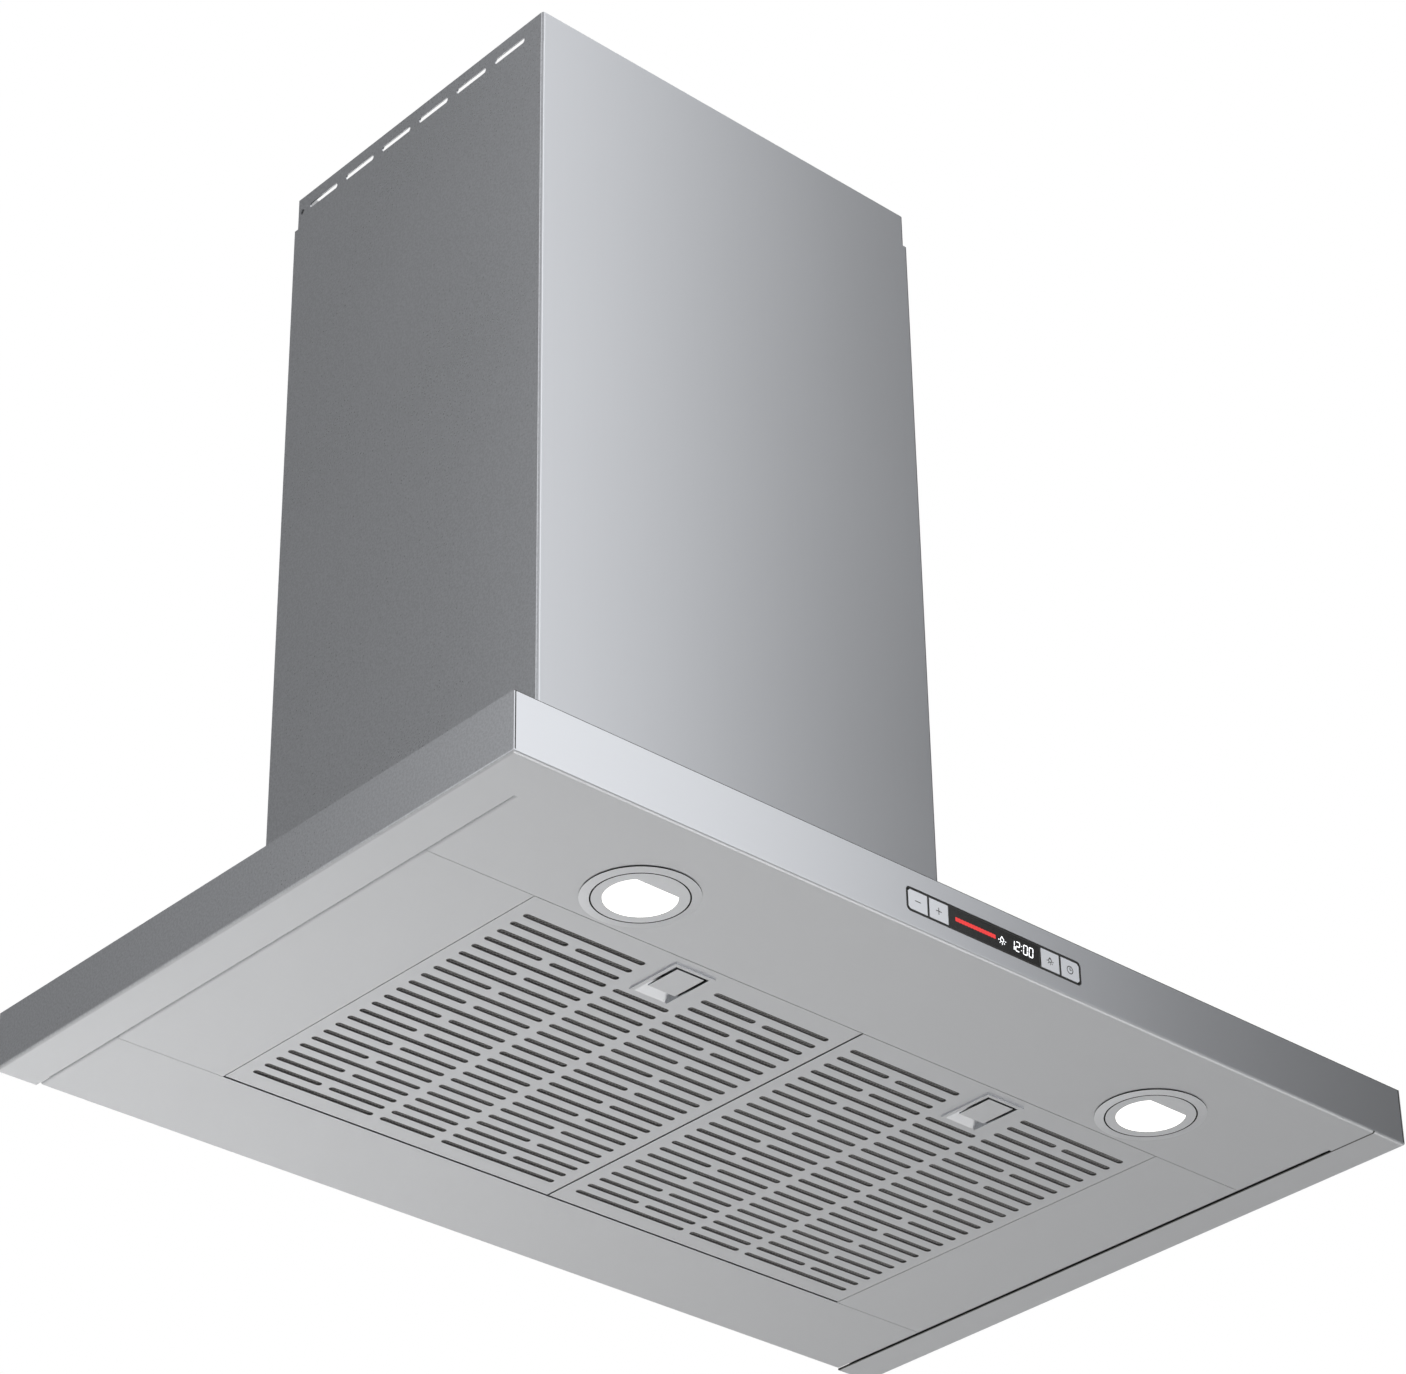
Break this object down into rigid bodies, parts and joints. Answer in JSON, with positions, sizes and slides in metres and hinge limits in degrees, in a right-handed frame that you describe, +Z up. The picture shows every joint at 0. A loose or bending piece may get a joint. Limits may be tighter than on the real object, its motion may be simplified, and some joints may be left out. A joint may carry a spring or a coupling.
{
  "type": "wall-mounted chimney range hood",
  "caption": "Stainless wall chimney range hood: flat box canopy with slotted swing-down grease filters, spot lamps, a push-button strip and a telescoping chimney.",
  "frame": {"origin": "middle of the canopy's outline, level with the lamp faces, which hang 1.2 mm below the underside", "axes": "+Z up, +Y towards the wall, +X to the right as seen from the front"},
  "size_m": [0.75, 0.5, 0.7912],
  "materials": {
    "outer_steel": "fine-brushed stainless steel sheet",
    "zinc_sheet": "galvanised steel sheet",
    "screw_steel": "zinc-plated steel",
    "mesh_mat": "knitted aluminium wire mat",
    "bare_aluminium": "mill-finish aluminium sheet",
    "latch_steel": "brushed stainless steel",
    "black_plastic": "black moulded plastic",
    "button_caps": "silver-painted plastic with a satin face",
    "display_glass": "smoked gloss window",
    "circuit_board": "green circuit board",
    "lamp_metal": "satin die-cast aluminium",
    "lamp_lens": "white diffuser",
    "white_plastic": "white moulded plastic",
    "grey_plastic": "dark grey moulded plastic",
    "motor_metal": "black painted steel"
  },
  "bodies": {
    "hood": {"box_screws": "screw_steel", "cable_gland": "grey_plastic", "canopy_back": "zinc_sheet", "canopy_shell": "outer_steel", "canopy_top": "outer_steel", "chimney_bracket": "zinc_sheet", "collar_screws": "screw_steel", "control_bezel": "black_plastic", "control_board": "circuit_board", "display_module": "black_plastic", "display_window": "display_glass", "duct_collar": "grey_plastic", "filter_hanger": "outer_steel", "led_driver": "white_plastic", "left_scroll": "zinc_sheet", "left_side_panel": "outer_steel", "light_bodies": "lamp_metal", "light_lenses": "lamp_lens", "lower_chimney": "outer_steel", "motor": "motor_metal", "motor_box": "zinc_sheet", "rear_panel": "outer_steel", "right_scroll": "zinc_sheet", "right_side_panel": "outer_steel", "run_capacitor": "white_plastic", "tact_switches": "circuit_board", "terminal_box": "black_plastic", "terminal_cover": "black_plastic"},
    "upper_chimney": {"upper_chimney": "outer_steel"},
    "left_filter": {"left_filter_face": "outer_steel", "left_filter_mesh": "mesh_mat", "left_filter_back": "bare_aluminium", "left_latch_housing": "black_plastic"},
    "right_filter": {"right_filter_face": "outer_steel", "right_filter_mesh": "mesh_mat", "right_filter_back": "bare_aluminium", "right_latch_housing": "black_plastic"},
    "left_latch": {"left_latch_slider": "latch_steel"},
    "right_latch": {"right_latch_slider": "latch_steel"},
    "minus_button": {"minus_button": "button_caps"},
    "plus_button": {"plus_button": "button_caps"},
    "light_button": {"light_button": "button_caps"},
    "timer_button": {"timer_button": "button_caps"},
    "impeller": {"impeller": "grey_plastic", "motor_shaft": "screw_steel"},
    "front_flap": {"front_flap": "grey_plastic"},
    "rear_flap": {"rear_flap": "grey_plastic"}
  },
  "joints": [
    {"name": "upper_chimney_slide", "type": "slide", "parent": "hood", "child": "upper_chimney", "axis": [0, 0, 1], "range_m": [0, 0.25]},
    {"name": "left_filter_swing", "type": "hinge", "parent": "hood", "child": "left_filter", "pos_m": [-0.1317, 0.15, 0.0072], "axis": [1, 0, 0], "range_deg": [0, 75]},
    {"name": "right_filter_swing", "type": "hinge", "parent": "hood", "child": "right_filter", "pos_m": [0.1317, 0.15, 0.0072], "axis": [1, 0, 0], "range_deg": [0, 75]},
    {"name": "left_latch_slide", "type": "slide", "parent": "left_filter", "child": "left_latch", "axis": [0, 1, 0], "range_m": [0, 0.005], "stiffness_N_per_m": 300},
    {"name": "right_latch_slide", "type": "slide", "parent": "right_filter", "child": "right_latch", "axis": [0, 1, 0], "range_m": [0, 0.005], "stiffness_N_per_m": 300},
    {"name": "minus_button_press", "type": "slide", "parent": "hood", "child": "minus_button", "axis": [0, 1, 0], "range_m": [0, 0.0008], "stiffness_N_per_m": 600},
    {"name": "plus_button_press", "type": "slide", "parent": "hood", "child": "plus_button", "axis": [0, 1, 0], "range_m": [0, 0.0008], "stiffness_N_per_m": 600},
    {"name": "light_button_press", "type": "slide", "parent": "hood", "child": "light_button", "axis": [0, 1, 0], "range_m": [0, 0.0008], "stiffness_N_per_m": 600},
    {"name": "timer_button_press", "type": "slide", "parent": "hood", "child": "timer_button", "axis": [0, 1, 0], "range_m": [0, 0.0008], "stiffness_N_per_m": 600},
    {"name": "impeller_spin", "type": "hinge", "parent": "hood", "child": "impeller", "pos_m": [0, 0.11231, 0.1562], "axis": [1, 0, 0], "continuous": true},
    {"name": "front_flap_lift", "type": "hinge", "parent": "hood", "child": "front_flap", "pos_m": [0, 0.1555, 0.3429], "axis": [-1, 0, 0], "range_deg": [0, 80]},
    {"name": "rear_flap_lift", "type": "hinge", "parent": "hood", "child": "rear_flap", "pos_m": [0, 0.1645, 0.3429], "axis": [1, 0, 0], "range_deg": [0, 80]}
  ]
}
